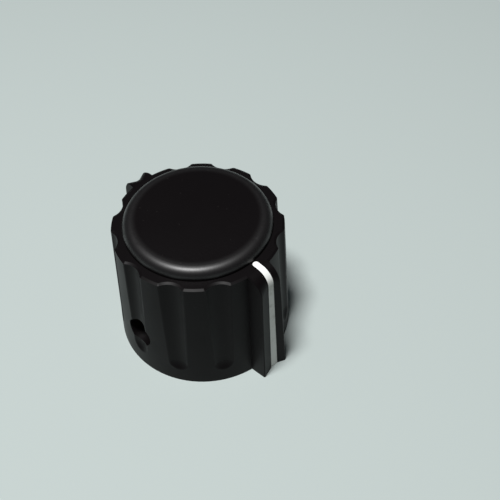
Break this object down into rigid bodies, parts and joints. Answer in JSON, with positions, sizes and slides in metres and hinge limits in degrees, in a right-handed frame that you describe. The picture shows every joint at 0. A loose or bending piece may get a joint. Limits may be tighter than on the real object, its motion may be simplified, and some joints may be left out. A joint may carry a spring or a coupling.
{
  "type": "control knob",
  "caption": "Fluted black control knob with a raised cap, a pointer fin with a white line, a rear fin, and a brass bush with a side set screw.",
  "frame": {"origin": "on the shaft's axis, in the plane of the base", "axes": "+Z along the shaft's axis from the base to the cap, -Y towards the pointer fin, -X towards the set screw"},
  "size_m": [0.019, 0.0222, 0.0163],
  "materials": {
    "black_moulding": "satin moulded sides and rim, fine dull grain on the cap",
    "white_filling": "smooth white filling",
    "bush_brass": "turned",
    "screw_brass": "turned, slightly dulled"
  },
  "bodies": {
    "root": {"knob_body": "black_moulding", "indicator_line": "white_filling", "shaft_bush": "bush_brass", "set_screw": "screw_brass"}
  },
  "joints": []
}
